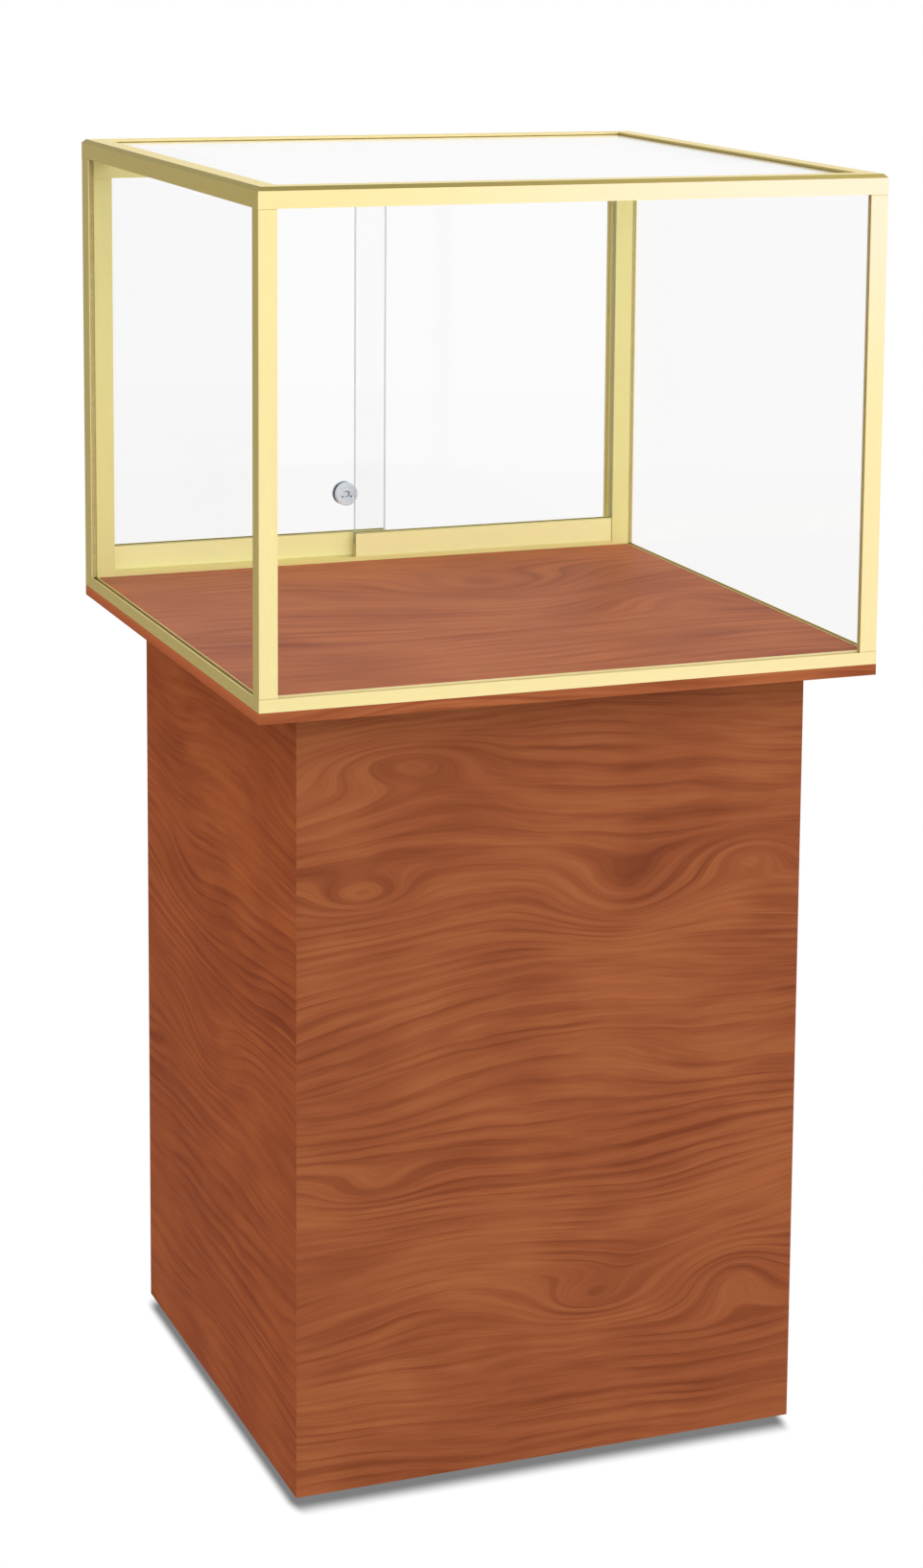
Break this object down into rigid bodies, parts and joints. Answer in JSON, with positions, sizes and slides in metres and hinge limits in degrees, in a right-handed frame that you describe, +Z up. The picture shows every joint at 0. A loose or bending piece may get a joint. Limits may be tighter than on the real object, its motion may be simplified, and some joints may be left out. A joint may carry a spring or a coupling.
{
  "type": "pedestal display case",
  "caption": "Free-standing square pedestal in wood laminate under a glass display case with a gold metal frame, by-passing sliding doors in the rear and a push lock",
  "frame": {"origin": "on the floor, under the centre of the case", "axes": "+X to the right seen from the front, +Y to the rear where the doors are, +Z up"},
  "size_m": [0.6096, 0.6096, 1.2315],
  "materials": {
    "gold_aluminium": "pale gold anodised extrusion, satin, fine die lines",
    "cherry_laminate": "cherry wood-grain laminate, satin",
    "carcass_board": "plain particle board and pine inside",
    "clear_glass": "clear float glass with faint green edges",
    "gasket_vinyl": "bronze glazing vinyl",
    "zinc_steel": "zinc-plated steel",
    "wheel_nylon": "white nylon rollers",
    "lock_chrome": "satin chrome plate",
    "key_brass": "brass key plug"
  },
  "bodies": {
    "case": {"pedestal_front": "cherry_laminate", "pedestal_right": "cherry_laminate", "pedestal_rear": "cherry_laminate", "pedestal_left": "cherry_laminate", "pedestal_top": "carcass_board", "pedestal_base": "carcass_board", "cleat_fl": "carcass_board", "cleat_fr": "carcass_board", "cleat_rl": "carcass_board", "cleat_rr": "carcass_board", "cleat_screws": "zinc_steel", "base_board": "carcass_board", "board_edging": "cherry_laminate", "board_screws": "zinc_steel", "display_deck": "cherry_laminate", "base_rail_front": "gold_aluminium", "base_rail_right": "gold_aluminium", "base_rail_rear": "gold_aluminium", "base_rail_left": "gold_aluminium", "top_rail_front": "gold_aluminium", "top_rail_right": "gold_aluminium", "top_rail_rear": "gold_aluminium", "top_rail_left": "gold_aluminium", "post_fl": "gold_aluminium", "post_fr": "gold_aluminium", "post_rl": "gold_aluminium", "post_rr": "gold_aluminium", "jamb_left": "gold_aluminium", "jamb_right": "gold_aluminium", "door_track": "gold_aluminium", "door_header": "gold_aluminium", "corner_keys": "zinc_steel", "post_pins": "zinc_steel", "frame_screws": "zinc_steel", "pane_front": "clear_glass", "pane_left": "clear_glass", "pane_right": "clear_glass", "pane_top": "clear_glass", "top_gasket": "gasket_vinyl", "setting_strips": "gasket_vinyl"},
    "inner_door": {"inner_glass": "clear_glass", "inner_shoe": "gold_aluminium", "inner_vinyl": "gasket_vinyl", "inner_axles": "zinc_steel"},
    "outer_door": {"outer_glass": "clear_glass", "outer_shoe": "gold_aluminium", "outer_vinyl": "gasket_vinyl", "outer_axles": "zinc_steel", "lock_barrel": "lock_chrome", "lock_nut": "lock_chrome", "lock_washers": "gasket_vinyl"},
    "inner_left_wheel": {"wheel_inner_l": "wheel_nylon"},
    "inner_right_wheel": {"wheel_inner_r": "wheel_nylon"},
    "outer_left_wheel": {"wheel_outer_l": "wheel_nylon"},
    "outer_right_wheel": {"wheel_outer_r": "wheel_nylon"},
    "plunger": {"lock_plunger": "lock_chrome", "lock_spring": "zinc_steel"},
    "key_plug": {"lock_key_plug": "key_brass"}
  },
  "joints": [
    {"name": "inner_door_slide", "type": "slide", "parent": "case", "child": "inner_door", "axis": [1, 0, 0], "range_m": [-0.265, 0]},
    {"name": "outer_door_slide", "type": "slide", "parent": "case", "child": "outer_door", "axis": [1, 0, 0], "range_m": [0, 0.259]},
    {"name": "inner_left_wheel_roll", "type": "hinge", "parent": "inner_door", "child": "inner_left_wheel", "pos_m": [0.0241, 0.2853, 0.78], "axis": [0, 1, 0], "range_deg": [-1898, 0]},
    {"name": "inner_right_wheel_roll", "type": "hinge", "parent": "inner_door", "child": "inner_right_wheel", "pos_m": [0.2424, 0.2853, 0.78], "axis": [0, 1, 0], "range_deg": [-1898, 0]},
    {"name": "outer_left_wheel_roll", "type": "hinge", "parent": "outer_door", "child": "outer_left_wheel", "pos_m": [-0.2424, 0.2979, 0.78], "axis": [0, 1, 0], "range_deg": [0, 1855]},
    {"name": "outer_right_wheel_roll", "type": "hinge", "parent": "outer_door", "child": "outer_right_wheel", "pos_m": [-0.0179, 0.2979, 0.78], "axis": [0, 1, 0], "range_deg": [0, 1855]},
    {"name": "lock_push", "type": "slide", "parent": "outer_door", "child": "plunger", "axis": [0, -1, 0], "range_m": [0, 0.003], "stiffness_N_per_m": 150, "springref_m": -0.002, "deforming": ["lock_spring"]},
    {"name": "key_turn", "type": "hinge", "parent": "plunger", "child": "key_plug", "pos_m": [-0.0229, 0.3019, 0.8495], "axis": [0, -1, 0], "range_deg": [0, 90]}
  ],
  "couplings": [
    {"joint": "inner_left_wheel_roll", "follows": "inner_door_slide", "rad_per_m": 125},
    {"joint": "inner_right_wheel_roll", "follows": "inner_door_slide", "rad_per_m": 125},
    {"joint": "outer_left_wheel_roll", "follows": "outer_door_slide", "rad_per_m": 125},
    {"joint": "outer_right_wheel_roll", "follows": "outer_door_slide", "rad_per_m": 125}
  ]
}
